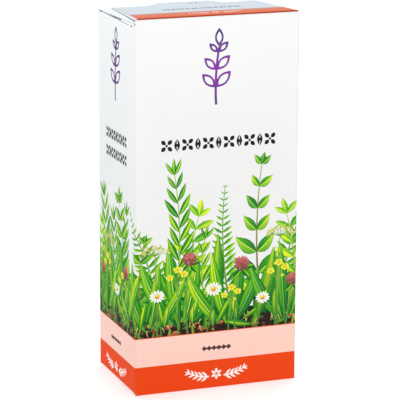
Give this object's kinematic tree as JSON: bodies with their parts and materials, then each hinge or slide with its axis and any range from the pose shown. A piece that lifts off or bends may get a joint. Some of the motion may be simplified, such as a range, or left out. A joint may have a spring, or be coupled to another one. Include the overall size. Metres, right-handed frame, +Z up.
{
  "type": "folding tea carton",
  "caption": "Tall upright folding carton for loose herbal tea, printed all round, with a lid hinged on the front wall, a tuck flap and side dust flaps.",
  "frame": {"origin": "middle of the base, on the surface that the carton stands on", "axes": "+Z up along the carton's height; the front wall, which carries the lid's hinge, faces -Y; +X runs to the right seen from the front"},
  "size_m": [0.075, 0.049, 0.165],
  "materials": {
    "printed_board": "satin",
    "bare_board": "matte"
  },
  "bodies": {
    "carton": {"front_panel": "printed_board", "back_panel": "printed_board", "left_panel": "printed_board", "right_panel": "printed_board", "glue_flap": "bare_board", "bottom_outer_flap": "printed_board", "bottom_inner_flap": "bare_board", "bottom_dust_flap_left": "bare_board", "bottom_dust_flap_right": "bare_board"},
    "lid": {"lid_panel": "printed_board"},
    "tuck": {"tuck_flap": "printed_board"},
    "left_dust": {"dust_flap_left": "bare_board"},
    "right_dust": {"dust_flap_right": "bare_board"}
  },
  "joints": [
    {"name": "lid_crease", "type": "hinge", "parent": "carton", "child": "lid", "pos_m": [0, -0.0245, 0.165], "axis": [1, 0, 0], "range_deg": [0, 120]},
    {"name": "tuck_crease", "type": "hinge", "parent": "lid", "child": "tuck", "pos_m": [0, 0.0237, 0.1627], "axis": [1, 0, 0], "range_deg": [0, 36]},
    {"name": "left_dust_crease", "type": "hinge", "parent": "carton", "child": "left_dust", "pos_m": [-0.0375, 0, 0.1621], "axis": [0, -1, 0], "range_deg": [0, 72]},
    {"name": "right_dust_crease", "type": "hinge", "parent": "carton", "child": "right_dust", "pos_m": [0.0375, 0, 0.1621], "axis": [0, 1, 0], "range_deg": [0, 72]}
  ],
  "couplings": [
    {"joint": "tuck_crease", "follows": "lid_crease", "ratio": 0.3},
    {"joint": "left_dust_crease", "follows": "lid_crease", "ratio": 0.6},
    {"joint": "right_dust_crease", "follows": "lid_crease", "ratio": 0.6}
  ]
}
